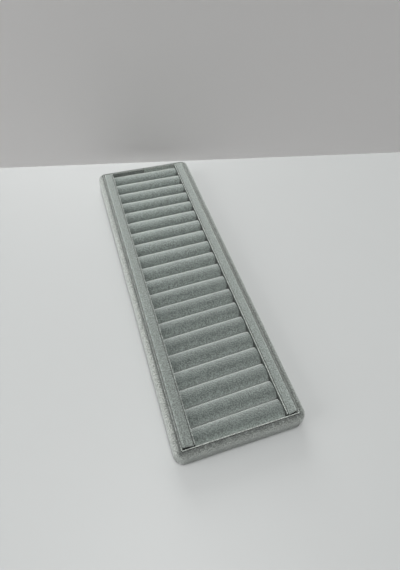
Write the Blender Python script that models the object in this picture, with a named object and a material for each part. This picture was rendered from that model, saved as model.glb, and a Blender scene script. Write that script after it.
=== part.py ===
"""Long velvet display tray with a lift-out insert of padded rolls.

Metres, +Z up. The origin is on the table under the middle of the tray, +X runs across the
tray and +Y along it. The tray is a board with a padded rim around it and a thin card liner
inside the rim. The insert is a card board that carries the padded rolls, a divider at each
end of the rolls and a flat strip outside each divider.
"""
import math

import bmesh
import bpy
from mathutils import Vector

# The tray as a whole
TRAY_LENGTH = 0.350
TRAY_WIDTH = 0.114
TRAY_HEIGHT = 0.020
RIM_WIDTH = 0.0072
FIT_GAP = 0.0003

# Corners in plan: the outer face of the rim, and the two faces of the liner inside it
CORNER_OUTER = 0.0090
CORNER_LINER = 0.0009
CORNER_INNER = 0.0003
CORNER_STEPS = 8

# The floor of the tray
FELT_THICKNESS = 0.0008
BASE_THICKNESS = 0.0020

# The card liner that stands up inside the rim, a little lower than the insert's strips
LINER_THICKNESS = 0.0009
LINER_DROP = 0.0008
LINER_EDGE_STEPS = 4

# The padded cover of the rim, from the groove beside the liner to the table
GROOVE_DEPTH = 0.0028
CROWN_DEPTH = 0.0020
CROWN_FROM_LINER = 0.0022
SHOULDER_HEIGHT = 0.0115
COVER_WALL = 0.0012
COVER_TOP = 0.0024
HEM_ROUND = 0.0006
GROOVE_STEPS = 3
SHOULDER_STEPS = 8
HEM_STEPS = 3

# The frame rails under the cover
RAIL_CHAMFER = 0.0026

# The insert
INSERT_BOARD = 0.0015
STRIP_WIDTH = 0.0090
STRIP_ROUND = 0.0004
STRIP_END_GAP = 0.0014
DIVIDER_THICKNESS = 0.0010
DIVIDER_DROP = 0.0002
DIVIDER_ROUND = 0.0003
DIVIDER_END_GAP = 0.0007
BLOCK_EDGE_STEPS = 2

# The padded rolls
ROLL_COUNT = 20
ROLL_DROP = 0.0020
ROLL_CROWN = 0.0062
ROLL_SKEW = 0.0032
ROLL_SETTLE = 0.0028
ROLL_END_GAP = 0.0006
ROLL_ROUND_LEFT = 0.0010
ROLL_ROUND_RIGHT = 0.0014
ROLL_ARC_STEPS = 12
ROLL_END_STEPS = 3
ROLL_MIDDLE_STEPS = 2

# Heights of the layers, from the table up
BOARD_BOTTOM = FELT_THICKNESS + FIT_GAP
BOARD_TOP = BOARD_BOTTOM + BASE_THICKNESS
FLOOR = BOARD_TOP + FIT_GAP
INSERT_TOP = FLOOR + INSERT_BOARD
PAD_BOTTOM = INSERT_TOP + FIT_GAP

# Places across and along the tray
HALF_WIDTH = TRAY_WIDTH / 2
HALF_LENGTH = TRAY_LENGTH / 2
BED_HALF_X = HALF_WIDTH - RIM_WIDTH
BED_HALF_Y = HALF_LENGTH - RIM_WIDTH
PAD_WIDTH = RIM_WIDTH - LINER_THICKNESS

STRIP_OUTER_X = BED_HALF_X - FIT_GAP
STRIP_INNER_X = STRIP_OUTER_X - STRIP_WIDTH
DIVIDER_OUTER_X = STRIP_INNER_X - FIT_GAP
DIVIDER_INNER_X = DIVIDER_OUTER_X - DIVIDER_THICKNESS
ROLL_LEFT_X = -DIVIDER_INNER_X + FIT_GAP
ROLL_RIGHT_X = DIVIDER_INNER_X - ROLL_END_GAP
ROLL_FIELD_HALF_Y = BED_HALF_Y - FIT_GAP / 2
ROLL_PITCH = 2 * ROLL_FIELD_HALF_Y / ROLL_COUNT
CREST = TRAY_HEIGHT - ROLL_DROP


def clear_scene():
    """Empty the file of its objects."""
    for thing in list(bpy.data.objects):
        bpy.data.objects.remove(thing, do_unlink=True)


def cloth(name, color, roughness):
    """A plain matt finish for one piece."""
    material = bpy.data.materials.new(name)
    material.use_nodes = True
    shader = material.node_tree.nodes["Principled BSDF"]
    shader.inputs["Base Color"].default_value = (*color, 1)
    shader.inputs["Roughness"].default_value = roughness
    shader.inputs["Metallic"].default_value = 0
    material.diffuse_color = (*color, 1)
    return material


def rim_velvet(name):
    return cloth(name, (0.27, 0.29, 0.275), 0.95)


def liner_velvet(name):
    return cloth(name, (0.25, 0.27, 0.255), 0.95)


def strip_velvet(name):
    return cloth(name, (0.31, 0.335, 0.315), 0.95)


def roll_velvet(name):
    return cloth(name, (0.24, 0.265, 0.25), 0.95)


def grey_board(name):
    return cloth(name, (0.36, 0.33, 0.29), 0.85)


def fibre_board(name):
    return cloth(name, (0.42, 0.31, 0.20), 0.80)


def felt(name):
    return cloth(name, (0.13, 0.14, 0.135), 1.0)


def add_object(name, mesh, material):
    """Put a mesh in the scene as one named piece with its own material."""
    mesh.materials.append(material)
    thing = bpy.data.objects.new(name, mesh)
    bpy.context.scene.collection.objects.link(thing)
    return thing


def close_mesh(name, shape, sharp_angle):
    """Turn a bmesh into a mesh whose faces point out, smooth except at sharp edges."""
    bmesh.ops.recalc_face_normals(shape, faces=shape.faces)
    mesh = bpy.data.meshes.new(name)
    shape.to_mesh(mesh)
    shape.free()
    mesh.shade_smooth()
    mesh.set_sharp_from_angle(angle=math.radians(sharp_angle))
    return mesh


def skin_stations(name, stations, closed, sharp_angle=40):
    """Join a row of like sections into one solid; an open row gets an end face at each end."""
    shape = bmesh.new()
    rows = [[shape.verts.new(point) for point in station] for station in stations]
    count = len(rows[0])
    pairs = list(zip(rows, rows[1:]))
    if closed:
        pairs.append((rows[-1], rows[0]))
    for here, there in pairs:
        for k in range(count):
            after = (k + 1) % count
            shape.faces.new((here[k], here[after], there[after], there[k]))
    if not closed:
        shape.faces.new(rows[0])
        shape.faces.new(rows[-1])
    return close_mesh(name, shape, sharp_angle)


def corner_radius(depth):
    """Corner radius in plan of the line that lies a depth inside the rim's outer face."""
    if depth < PAD_WIDTH:
        return CORNER_OUTER + (CORNER_LINER - CORNER_OUTER) * depth / PAD_WIDTH
    return CORNER_LINER + (CORNER_INNER - CORNER_LINER) * (depth - PAD_WIDTH) / LINER_THICKNESS


def corner_arc(half_x, half_y, radius, quarter):
    """Points of one rounded corner of a rectangle, anticlockwise; quarter 0 is the far right."""
    sign_x = 1 if quarter in (0, 3) else -1
    sign_y = 1 if quarter in (0, 1) else -1
    centre_x = sign_x * (half_x - radius)
    centre_y = sign_y * (half_y - radius)
    points = []
    for step in range(CORNER_STEPS + 1):
        angle = math.pi / 2 * (quarter + step / CORNER_STEPS)
        x = centre_x + radius * math.cos(angle)
        y = centre_y + radius * math.sin(angle)
        points.append((x, y))
    return points


def rim_loop(depth):
    """The four corner arcs of the line that lies a depth inside the rim's outer face."""
    half_x = HALF_WIDTH - depth
    half_y = HALF_LENGTH - depth
    return [corner_arc(half_x, half_y, corner_radius(depth), quarter) for quarter in range(4)]


def rim_stations(section, loops_of):
    """Stations around the rim: for each point of the path, the section's points there."""
    lines = [loops_of(rim_loop(depth)) for depth, _ in section]
    heights = [height for _, height in section]
    return [
        [(line[k][0], line[k][1], height) for line, height in zip(lines, heights)]
        for k in range(len(lines[0]))
    ]


def whole_loop(arcs):
    """All four corners in turn, for a band that closes on itself."""
    return [point for arc in arcs for point in arc]


def butted_loop(arcs):
    """All four corners from the middle of the far side and back to it, with a butt gap there."""
    far_y = arcs[0][-1][1]
    start = [(-FIT_GAP / 2, far_y)]
    end = [(FIT_GAP / 2, far_y)]
    turn = [point for quarter in (1, 2, 3, 0) for point in arcs[quarter]]
    return start + turn + end


def side_loop(first_quarter):
    """One side, from the middle of one corner to the middle of the next, less a mitre gap."""
    def pick(arcs):
        half = CORNER_STEPS // 2
        points = arcs[first_quarter][half:] + arcs[(first_quarter + 1) % 4][: half + 1]
        ends = []
        for here, inner in ((points[0], points[1]), (points[-1], points[-2])):
            away = Vector(inner) - Vector(here)
            ends.append(Vector(here) + away.normalized() * FIT_GAP / 2)
        return [tuple(ends[0])] + points[1:-1] + [tuple(ends[1])]
    return pick


def cover_section():
    """The rim cover's section as depth in from the outer face and height, once around."""
    inner = PAD_WIDTH - FIT_GAP
    crown = PAD_WIDTH - CROWN_FROM_LINER
    crown_height = TRAY_HEIGHT - CROWN_DEPTH
    groove_height = TRAY_HEIGHT - GROOVE_DEPTH
    points = []
    for step in range(GROOVE_STEPS + 1):
        share = step / GROOVE_STEPS
        rise = (crown_height - groove_height) * math.sin(share * math.pi / 2)
        points.append((inner + (crown - inner) * share, groove_height + rise))
    for step in range(1, SHOULDER_STEPS + 1):
        angle = math.pi / 2 * step / SHOULDER_STEPS
        depth = crown * (1 - math.sin(angle))
        height = SHOULDER_HEIGHT + (crown_height - SHOULDER_HEIGHT) * math.cos(angle)
        points.append((depth, height))
    for step in range(HEM_STEPS + 1):
        angle = math.pi / 2 * step / HEM_STEPS
        points.append((HEM_ROUND * (1 - math.cos(angle)), HEM_ROUND * (1 - math.sin(angle))))
    roof = groove_height - COVER_TOP
    points.append((COVER_WALL, 0))
    points.append((COVER_WALL, roof - RAIL_CHAMFER))
    points.append((COVER_WALL + RAIL_CHAMFER, roof))
    points.append((inner, roof))
    return points


def rail_section():
    """The frame rail's section: what is left inside the cover, clear of it all round."""
    inner = PAD_WIDTH - FIT_GAP
    outer = COVER_WALL + FIT_GAP
    top = TRAY_HEIGHT - GROOVE_DEPTH - COVER_TOP - FIT_GAP
    return [
        (inner, FLOOR),
        (inner, top),
        (outer + RAIL_CHAMFER, top),
        (outer, top - RAIL_CHAMFER),
        (outer, FLOOR),
    ]


def liner_section():
    """The card liner's section: a thin wall with a rounded top edge."""
    outer = PAD_WIDTH
    inner = RIM_WIDTH
    radius = LINER_THICKNESS / 2
    middle = (outer + inner) / 2
    spring = TRAY_HEIGHT - LINER_DROP - radius
    points = [(inner, FLOOR)]
    for step in range(LINER_EDGE_STEPS + 1):
        angle = math.pi * step / LINER_EDGE_STEPS
        across = radius * math.cos(angle)
        points.append((middle + across, spring + radius * math.sin(angle)))
    points.append((outer, FLOOR))
    return points


def flat_sheet(name, half_x, half_y, radius, low, high, material):
    """A flat board with rounded corners between two heights."""
    outline = whole_loop([corner_arc(half_x, half_y, radius, quarter) for quarter in range(4)])
    stations = [[(x, y, height) for x, y in outline] for height in (low, high)]
    return add_object(name, skin_stations(name, stations, closed=False), material)


def make_floor():
    """The felt underneath and the base board over it, both inside the cover's lower edge."""
    edge = COVER_WALL + FIT_GAP
    half_x = HALF_WIDTH - edge
    half_y = HALF_LENGTH - edge
    radius = corner_radius(edge)
    flat_sheet("base_felt", half_x, half_y, radius, 0, FELT_THICKNESS, felt("base_felt"))
    board = fibre_board("base_board")
    flat_sheet("base_board", half_x, half_y, radius, BOARD_BOTTOM, BOARD_TOP, board)


def make_rails():
    """Four mitred rails that stiffen the rim, one along each side."""
    sides = {"rail_far": 0, "rail_left": 1, "rail_near": 2, "rail_right": 3}
    for name, quarter in sides.items():
        stations = rim_stations(rail_section(), side_loop(quarter))
        add_object(name, skin_stations(name, stations, closed=False), fibre_board(name))


def make_rim_cover():
    """The padded velvet cover that goes over the rails, one band without an end."""
    stations = rim_stations(cover_section(), whole_loop)
    mesh = skin_stations("rim_cover", stations, closed=True, sharp_angle=50)
    add_object("rim_cover", mesh, rim_velvet("rim_cover"))


def make_liner():
    """The velvet-covered card band inside the rim; its ends butt in the middle of the far side."""
    stations = rim_stations(liner_section(), butted_loop)
    mesh = skin_stations("liner_band", stations, closed=False, sharp_angle=60)
    add_object("liner_band", mesh, liner_velvet("liner_band"))


def make_block(name, low, high, radius, material):
    """A covered block or card between two corners, with all its edges rounded."""
    size = Vector(high) - Vector(low)
    shape = bmesh.new()
    bmesh.ops.create_cube(shape, size=1)
    bmesh.ops.scale(shape, vec=size, verts=shape.verts)
    thing = add_object(name, close_mesh(name, shape, 40), material)
    thing.location = Vector(low) + size / 2
    bevel = thing.modifiers.new("rounded_edges", "BEVEL")
    bevel.width = radius
    bevel.segments = BLOCK_EDGE_STEPS
    bevel.limit_method = "NONE"
    return thing


def make_insert_board():
    """The card that carries everything on the insert."""
    half_x = BED_HALF_X - FIT_GAP
    half_y = BED_HALF_Y - FIT_GAP
    board = grey_board("insert_board")
    flat_sheet("insert_board", half_x, half_y, CORNER_INNER, FLOOR, INSERT_TOP, board)


def make_strips():
    """A flat covered strip along each side of the insert."""
    near = -BED_HALF_Y + STRIP_END_GAP
    far = BED_HALF_Y - FIT_GAP
    spans = {
        "strip_left": (-STRIP_OUTER_X, -STRIP_INNER_X),
        "strip_right": (STRIP_INNER_X, STRIP_OUTER_X),
    }
    for name, (left, right) in spans.items():
        low = (left, near, PAD_BOTTOM)
        high = (right, far, TRAY_HEIGHT)
        make_block(name, low, high, STRIP_ROUND, strip_velvet(name))


def make_dividers():
    """A thin covered card on edge between each strip and the ends of the rolls."""
    near = -BED_HALF_Y + DIVIDER_END_GAP
    far = BED_HALF_Y - FIT_GAP
    top = TRAY_HEIGHT - DIVIDER_DROP
    spans = {
        "divider_left": (-DIVIDER_OUTER_X, -DIVIDER_INNER_X),
        "divider_right": (DIVIDER_INNER_X, DIVIDER_OUTER_X),
    }
    for name, (left, right) in spans.items():
        low = (left, near, PAD_BOTTOM)
        high = (right, far, top)
        make_block(name, low, high, DIVIDER_ROUND, strip_velvet(name))


def slot_line(number, x):
    """Place along the tray of the slot after so many rolls, at one place across it.

    The rolls are packed by hand. Their right ends lie farther up the tray than their left
    ends, most of all a quarter of the way along, and not at all against the two end walls.
    The first quarter has settled a little toward the near end and the rest toward the far end.
    """
    turn = math.sqrt(number / ROLL_COUNT)
    lean = ROLL_SKEW * math.sin(math.pi * turn)
    settle = -ROLL_SETTLE * turn * math.sin(2 * math.pi * turn)
    across = (x - (ROLL_LEFT_X + ROLL_RIGHT_X) / 2) / (ROLL_RIGHT_X - ROLL_LEFT_X)
    return -ROLL_FIELD_HALF_Y + number * ROLL_PITCH + settle + lean * across


def roll_cuts():
    """Where a roll is cut across its length: the place, and how far the end round draws it in."""
    cuts = []
    ends = ((ROLL_LEFT_X, ROLL_ROUND_LEFT, 1), (ROLL_RIGHT_X, ROLL_ROUND_RIGHT, -1))
    for end, radius, inward in ends:
        side = []
        for step in range(ROLL_END_STEPS + 1):
            angle = math.pi / 2 * step / ROLL_END_STEPS
            place = end + inward * radius * (1 - math.cos(angle))
            side.append((place, radius * (1 - math.sin(angle))))
        cuts.append(side)
    left, right = cuts
    first = left[-1][0]
    last = right[-1][0]
    middle = []
    for step in range(1, ROLL_MIDDLE_STEPS):
        middle.append((first + (last - first) * step / ROLL_MIDDLE_STEPS, 0))
    return left + middle + right[::-1]


def roll_section(number, x, drawn_in):
    """One cut through a roll: a flat base, short upright sides and a round top."""
    near = slot_line(number, x) + FIT_GAP / 2 + drawn_in
    far = slot_line(number + 1, x) - FIT_GAP / 2 - drawn_in
    centre = (near + far) / 2
    half = (far - near) / 2
    spring = CREST - ROLL_CROWN
    top = CREST - drawn_in
    points = [(x, near, PAD_BOTTOM)]
    for step in range(ROLL_ARC_STEPS + 1):
        angle = math.pi * step / ROLL_ARC_STEPS
        height = spring + (top - spring) * math.sin(angle)
        points.append((x, centre - half * math.cos(angle), height))
    points.append((x, far, PAD_BOTTOM))
    return points


def make_rolls():
    """The padded rolls that lie side by side across the insert."""
    for number in range(ROLL_COUNT):
        name = f"roll_{number + 1:02d}"
        stations = [roll_section(number, x, drawn_in) for x, drawn_in in roll_cuts()]
        mesh = skin_stations(name, stations, closed=False, sharp_angle=55)
        add_object(name, mesh, roll_velvet(name))


def main():
    clear_scene()
    make_floor()
    make_rails()
    make_rim_cover()
    make_liner()
    make_insert_board()
    make_strips()
    make_dividers()
    make_rolls()


main()
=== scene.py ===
"""The looks of a long velvet display tray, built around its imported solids.

The tray is put together in the order of this file: a hardboard floor and rails, a felt
underneath, a padded velvet cover over the rim and a velvet band inside it. The insert comes
next: a card with two flat strips, two thin dividers and a row of soft padded rolls.
Lengths are in metres. X runs across the tray, Y along it to the far end, and Z up.
"""
import math

import bmesh
import bpy
from mathutils import Euler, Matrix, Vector, noise


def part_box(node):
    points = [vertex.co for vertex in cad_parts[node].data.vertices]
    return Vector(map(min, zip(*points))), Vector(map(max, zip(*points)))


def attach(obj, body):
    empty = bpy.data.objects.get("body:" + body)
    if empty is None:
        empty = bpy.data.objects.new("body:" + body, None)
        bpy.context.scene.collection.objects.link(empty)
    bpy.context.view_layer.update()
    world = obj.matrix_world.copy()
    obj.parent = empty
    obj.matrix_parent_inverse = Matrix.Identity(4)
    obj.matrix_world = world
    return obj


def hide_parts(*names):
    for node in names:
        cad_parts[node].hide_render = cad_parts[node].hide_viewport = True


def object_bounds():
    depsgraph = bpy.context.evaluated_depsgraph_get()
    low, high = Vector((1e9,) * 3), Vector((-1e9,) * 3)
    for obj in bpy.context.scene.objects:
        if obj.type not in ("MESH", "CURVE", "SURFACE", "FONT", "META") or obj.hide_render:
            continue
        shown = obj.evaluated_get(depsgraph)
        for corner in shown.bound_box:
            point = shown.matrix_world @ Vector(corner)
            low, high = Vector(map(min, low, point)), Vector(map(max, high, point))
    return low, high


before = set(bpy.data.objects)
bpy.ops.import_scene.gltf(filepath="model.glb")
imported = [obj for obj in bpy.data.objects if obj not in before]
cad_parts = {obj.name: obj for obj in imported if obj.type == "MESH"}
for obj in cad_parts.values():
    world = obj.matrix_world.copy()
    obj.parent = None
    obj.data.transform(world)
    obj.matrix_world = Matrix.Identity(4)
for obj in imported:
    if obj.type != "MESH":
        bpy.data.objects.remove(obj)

solid_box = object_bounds()


# Floor and rails.
# Hardboard, sawn to size. The floor is one sheet, and the four rails of the rim are mitred and
# glued down around it. All of it stays hidden, apart from the floor once the insert is out.
HARDBOARD_DARK = (0.23, 0.145, 0.08)
HARDBOARD_LIGHT = (0.40, 0.27, 0.16)
HARDBOARD_ROUGHNESS = 0.8
HARDBOARD_FLAKES = 420
HARDBOARD_FLAKE_DETAIL = 5
HARDBOARD_TONES = 60
HARDBOARD_TONE_SHARE = 0.4
HARDBOARD_PRESS = 0.00012
MATT_GLOSS = 0.25
CLOUD_DETAIL = 2
CLOUD_DARK_END = 0.35
CLOUD_LIGHT_END = 0.65


def bare_material(name, roughness):
    """A new material with a matt shader: the material, its nodes and the shader."""
    material = bpy.data.materials.new(name)
    material.use_nodes = True
    shader = material.node_tree.nodes["Principled BSDF"]
    shader.inputs["Roughness"].default_value = roughness
    shader.inputs["Specular IOR Level"].default_value = MATT_GLOSS
    return material, material.node_tree, shader


def grain(tree, spots, detail=CLOUD_DETAIL, stretch=(1, 1, 1), place="Object"):
    """A cloud of light and dark, so many spots to the metre, that can be drawn out one way."""
    where = tree.nodes.new("ShaderNodeTexCoord")
    drawn = tree.nodes.new("ShaderNodeMapping")
    drawn.inputs["Scale"].default_value = stretch
    cloud = tree.nodes.new("ShaderNodeTexNoise")
    cloud.inputs["Scale"].default_value = spots
    cloud.inputs["Detail"].default_value = detail
    tree.links.new(where.outputs[place], drawn.inputs["Vector"])
    tree.links.new(drawn.outputs["Vector"], cloud.inputs["Vector"])
    return cloud.outputs[0]


def mixed(tree, first, second, share):
    """A share of the second cloud laid over the first."""
    mix = tree.nodes.new("ShaderNodeMix")
    mix.inputs["Factor"].default_value = share
    tree.links.new(first, mix.inputs["A"])
    tree.links.new(second, mix.inputs["B"])
    return mix.outputs["Result"]


def two_tone(tree, cloud, dark, light, low=CLOUD_DARK_END, high=CLOUD_LIGHT_END):
    """Colour that runs from dark to light with a cloud."""
    ramp = tree.nodes.new("ShaderNodeValToRGB")
    ramp.color_ramp.elements[0].position = low
    ramp.color_ramp.elements[0].color = (*dark, 1)
    ramp.color_ramp.elements[1].position = high
    ramp.color_ramp.elements[1].color = (*light, 1)
    tree.links.new(cloud, ramp.inputs["Fac"])
    return ramp.outputs["Color"]


def roughen(tree, shader, cloud, depth):
    """Small relief from a cloud, so deep."""
    bump = tree.nodes.new("ShaderNodeBump")
    bump.inputs["Distance"].default_value = depth
    tree.links.new(cloud, bump.inputs["Height"])
    tree.links.new(bump.outputs["Normal"], shader.inputs["Normal"])


def hardboard():
    """Brown pressed board with dark and light flakes."""
    material, tree, shader = bare_material("hardboard", HARDBOARD_ROUGHNESS)
    flakes = grain(tree, HARDBOARD_FLAKES, HARDBOARD_FLAKE_DETAIL)
    tones = grain(tree, HARDBOARD_TONES)
    pressed = mixed(tree, flakes, tones, HARDBOARD_TONE_SHARE)
    colour = two_tone(tree, pressed, HARDBOARD_DARK, HARDBOARD_LIGHT)
    tree.links.new(colour, shader.inputs["Base Color"])
    roughen(tree, shader, flakes, HARDBOARD_PRESS)
    return material


HARDBOARD = hardboard()
for node in ("base_board", "rail_near", "rail_far", "rail_left", "rail_right"):
    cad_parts[node].material_slots[0].material = HARDBOARD


# Felt underneath.
# One thin sheet of dark grey wool felt, cut a little unevenly with a knife and glued flat
# under the floor, inside the lower edge of the velvet cover.
FELT_INSET = 0.0004
FELT_CORNER = 0.0076
FELT_ARC_STEPS = 8
FELT_EDGE_STEP = 0.004
FELT_CUT = 0.0004
FELT_CUT_WAVES = 60
FELT_CREASE = math.radians(50)
FELT_DARK = (0.075, 0.08, 0.078)
FELT_LIGHT = (0.17, 0.18, 0.175)
FELT_ROUGHNESS = 1.0
FELT_TUFTS = 700
FELT_TUFT_DETAIL = 4
FELT_FIBRES = 2600
FELT_FIBRE_SHARE = 0.5
FELT_SHEEN = 0.25
FELT_SHEEN_ROUGHNESS = 0.6
FELT_RELIEF = 0.0003


def outline(half_x, half_y, radius, arc_steps, step):
    """Points round a rectangle with round corners, anticlockwise from its far right corner."""
    points = []
    for quarter in range(4):
        sign_x = 1 if quarter in (0, 3) else -1
        sign_y = 1 if quarter in (0, 1) else -1
        centre = Vector((sign_x * (half_x - radius), sign_y * (half_y - radius)))
        for k in range(arc_steps + 1):
            angle = math.pi / 2 * (quarter + k / arc_steps)
            points.append(centre + radius * Vector((math.cos(angle), math.sin(angle))))
        turn = math.pi / 2 * (quarter + 1)
        straight = half_x - radius if quarter in (0, 2) else half_y - radius
        run = Vector((-math.sin(turn), math.cos(turn))) * 2 * straight
        count = max(1, round(run.length / step))
        start = points[-1]
        points += [start + run * k / count for k in range(1, count)]
    return points


def finished(name, shape, material, body):
    """Make a shape into a smooth piece of the scene that moves with a body."""
    bmesh.ops.recalc_face_normals(shape, faces=shape.faces)
    mesh = bpy.data.meshes.new(name)
    shape.to_mesh(mesh)
    shape.free()
    mesh.shade_smooth()
    mesh.materials.append(material)
    piece = bpy.data.objects.new(name, mesh)
    bpy.context.scene.collection.objects.link(piece)
    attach(piece, body)
    return piece


def felt():
    """Matted grey wool with a faint sheen."""
    material, tree, shader = bare_material("wool_felt", FELT_ROUGHNESS)
    tufts = grain(tree, FELT_TUFTS, FELT_TUFT_DETAIL)
    fibres = grain(tree, FELT_FIBRES)
    matted = mixed(tree, tufts, fibres, FELT_FIBRE_SHARE)
    tree.links.new(two_tone(tree, matted, FELT_DARK, FELT_LIGHT), shader.inputs["Base Color"])
    shader.inputs["Sheen Weight"].default_value = FELT_SHEEN
    shader.inputs["Sheen Roughness"].default_value = FELT_SHEEN_ROUGHNESS
    roughen(tree, shader, matted, FELT_RELIEF)
    return material


def felt_sheet():
    """The sheet, with a knife-cut edge that wanders a little."""
    low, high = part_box("base_felt")
    edge = outline(high.x - FELT_INSET, high.y - FELT_INSET, FELT_CORNER,
                   FELT_ARC_STEPS, FELT_EDGE_STEP)
    shape = bmesh.new()
    edges = []
    for height in (low.z, high.z):
        made = []
        for point in edge:
            cut = FELT_CUT * noise.noise(Vector((point.x, point.y, 0)) * FELT_CUT_WAVES)
            at = point * (1 + cut / point.length)
            made.append(shape.verts.new((at.x, at.y, height)))
        edges.append(made)
    under, over = edges
    for k, corner in enumerate(under):
        after = (k + 1) % len(edge)
        shape.faces.new((corner, under[after], over[after], over[k]))
    for made in edges:
        shape.faces.new(made)
    piece = finished("felt_sheet", shape, felt(), "tray")
    piece.data.set_sharp_from_angle(angle=FELT_CREASE)
    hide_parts("base_felt")


felt_sheet()


# Rim cover.
# Grey short-pile velvet stretched over a thin foam pad, glued into the groove beside the inner
# band, pulled down over the rails and turned under at the table. It is one endless band.
TRAY_HALF_X = solid_box[1].x
TRAY_HALF_Y = solid_box[1].y
RIM_HEIGHT = 0.0180
RIM_CORNER = 0.0090
RIM_STEP = 0.0025
RIM_ARC_STEPS = 14
CROWN_DEPTH_IN = 0.0041
CROWN_STEPS = 14
SHOULDER_HEIGHT = 0.0115
WALL_HEIGHTS = (0.0085, 0.0060, 0.0038, 0.0022)
HEM_ROUND = 0.0008
HEM_STEPS = 4
HEM_TUCK = 0.0003
GROOVE_DEPTH_IN = 0.0061
GROOVE_HEIGHT = 0.0172
GROOVE_FOOT = 0.0150
GROOVE_STEPS = 4
COVER_WALL = 0.0012
COVER_FOOT = 0.0020
COVER_ROOF = 0.0144
COVER_BEVEL = 0.0026
BAND_OUTER_DEPTH = 0.0063
BAND_THICKNESS = 0.0009
BAND_CORNER_OUTER = 0.0009
BAND_CORNER_INNER = 0.0003
SIDE_LEAN = 0.0002
NEAR_LEAN = 0.0003
SIDE_BULGE = (0.0, 0.0004, 0.0, 0.0007)
BULGE_DEPTH = 0.0050
RIM_SWELL = 0.00018
RIM_SWELL_SIZE = 0.018
RIM_FREE_FROM = 0.004
HEM_HELD_TO = 0.001
HEM_FREE = 0.3
SWELL_LARGE = 0.7
SWELL_SMALL = 0.3
SWELL_FINER = 2.7
PLEAT_DEPTH = 0.00012
PLEAT_HEIGHT = 0.007
PLEATS_ALL_ROUND = 36
VELVET_ROUGHNESS = 1.0
VELVET_GLOSS = 0.1
VELVET_SPOTS = 900
VELVET_PATCHES = 200
PATCH_SHARE = 0.12
VELVET_CONTRAST = 0.50
VELVET_DARK_END = 0.40
VELVET_LIGHT_END = 0.60
VELVET_RELIEF = 0.0006
VELVET_SHEEN = 1.0
VELVET_SHEEN_ROUGHNESS = 0.65
VELVET_TINT = (0.95, 1.0, 0.965, 1)
# Painted shade: a darker velvet without sheen that stands in for the shade in gaps, in the
# slots between the rolls and along the foot at the table.
GAP_SHADE_DARK = (0.060, 0.066, 0.062)
GAP_SHADE_LIGHT = (0.115, 0.127, 0.119)
GAP_SHADE_DETAIL = 3
HEM_SHADE_HEIGHT = 0.0012
RIM_VELVET = (0.150, 0.164, 0.151)
# Painted shade in the groove beside the band and out over the crown, heaviest at the near and
# far ends and the near left corner, fading toward the far end on the sides.
RIM_GROOVE_SHADE = (0.030, 0.034, 0.031)
# Painted light on the rim's outer face and top, most on the left side toward the window and on
# the near face.
RIM_PAINTED_LIGHT = (0.305, 0.319, 0.301)
RIM_SHEEN = 0.77
TOP_PAINTED_LIGHT = (0.9, 0.08, 0.42, 0.0)
FACE_PAINTED_LIGHT = (1.0, 0.0, 0.8, 0.0)
SHOULDER_BLEND = 0.0008
CROWN_SHADE = (0.12, 0.16, 0.85, 0.80)
CORNER_SHADE = 0.45
CORNER_REACH = 0.040
SHADE_TO = 0.0018
SHADE_FADE = (0.2, 0.9, 0.0, 0.0)
COMB_STROKES = (700, 150, 1)
STROKES_FROM = 0.36
STROKES_TO = 0.54
LIGHT_STROKE_WEAKEST = 0.62
SHADE_STROKE_WEAKEST = 0.35


def velvet(name, colour, painted_tones, sheen=VELVET_SHEEN):
    """Velvet: fine spots where the pile leans, soft patches, and painted light and shade laid
    on.

    Each entry of the painted tones is a name and a colour: the surface takes that colour by
    the share that its points carry under the name, as painted shade or as painted highlight
    and sheen.
    """
    material, tree, shader = bare_material(name, VELVET_ROUGHNESS)
    spots = grain(tree, VELVET_SPOTS)
    patches = grain(tree, VELVET_PATCHES)
    lay = mixed(tree, spots, patches, PATCH_SHARE)

    def spotted(tone):
        """A tone of the cloth in dark and light spots."""
        deep = [part * (1 - VELVET_CONTRAST) for part in tone]
        pale = [part * (1 + VELVET_CONTRAST) for part in tone]
        return two_tone(tree, lay, deep, pale, VELVET_DARK_END, VELVET_LIGHT_END)

    cloth = spotted(colour)
    for share_name, tone in painted_tones:
        painted_cloth = spotted(tone)
        share = tree.nodes.new("ShaderNodeAttribute")
        share.attribute_name = share_name
        over = tree.nodes.new("ShaderNodeMix")
        over.data_type = "RGBA"
        over.name = share_name
        tree.links.new(share.outputs["Fac"], over.inputs["Factor"])
        tree.links.new(cloth, over.inputs["A"])
        tree.links.new(painted_cloth, over.inputs["B"])
        cloth = over.outputs["Result"]
    tree.links.new(cloth, shader.inputs["Base Color"])
    shader.inputs["Specular IOR Level"].default_value = VELVET_GLOSS
    shader.inputs["Sheen Weight"].default_value = sheen
    shader.inputs["Sheen Roughness"].default_value = VELVET_SHEEN_ROUGHNESS
    shader.inputs["Sheen Tint"].default_value = VELVET_TINT
    roughen(tree, shader, spots, VELVET_RELIEF)
    return material


def painted_shade_velvet():
    """Painted shade: a darker velvet without sheen, for faces in gaps, in slots and at the
    table, where shade falls.
    """
    material, tree, shader = bare_material("painted_shade_velvet", VELVET_ROUGHNESS)
    lay = grain(tree, VELVET_SPOTS, GAP_SHADE_DETAIL)
    colour = two_tone(tree, lay, GAP_SHADE_DARK, GAP_SHADE_LIGHT)
    tree.links.new(colour, shader.inputs["Base Color"])
    roughen(tree, shader, lay, VELVET_RELIEF)
    return material


PAINTED_SHADE = painted_shade_velvet()


def paint_shade(piece, where):
    """Give the painted shade to the faces that a test picks by their middle and direction."""
    piece.data.materials.append(PAINTED_SHADE)
    for face in piece.data.polygons:
        if where(face.center, face.normal):
            face.material_index = 1


def clamped(value):
    """A value kept between 0 and 1."""
    return min(1.0, max(0.0, value))


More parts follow.
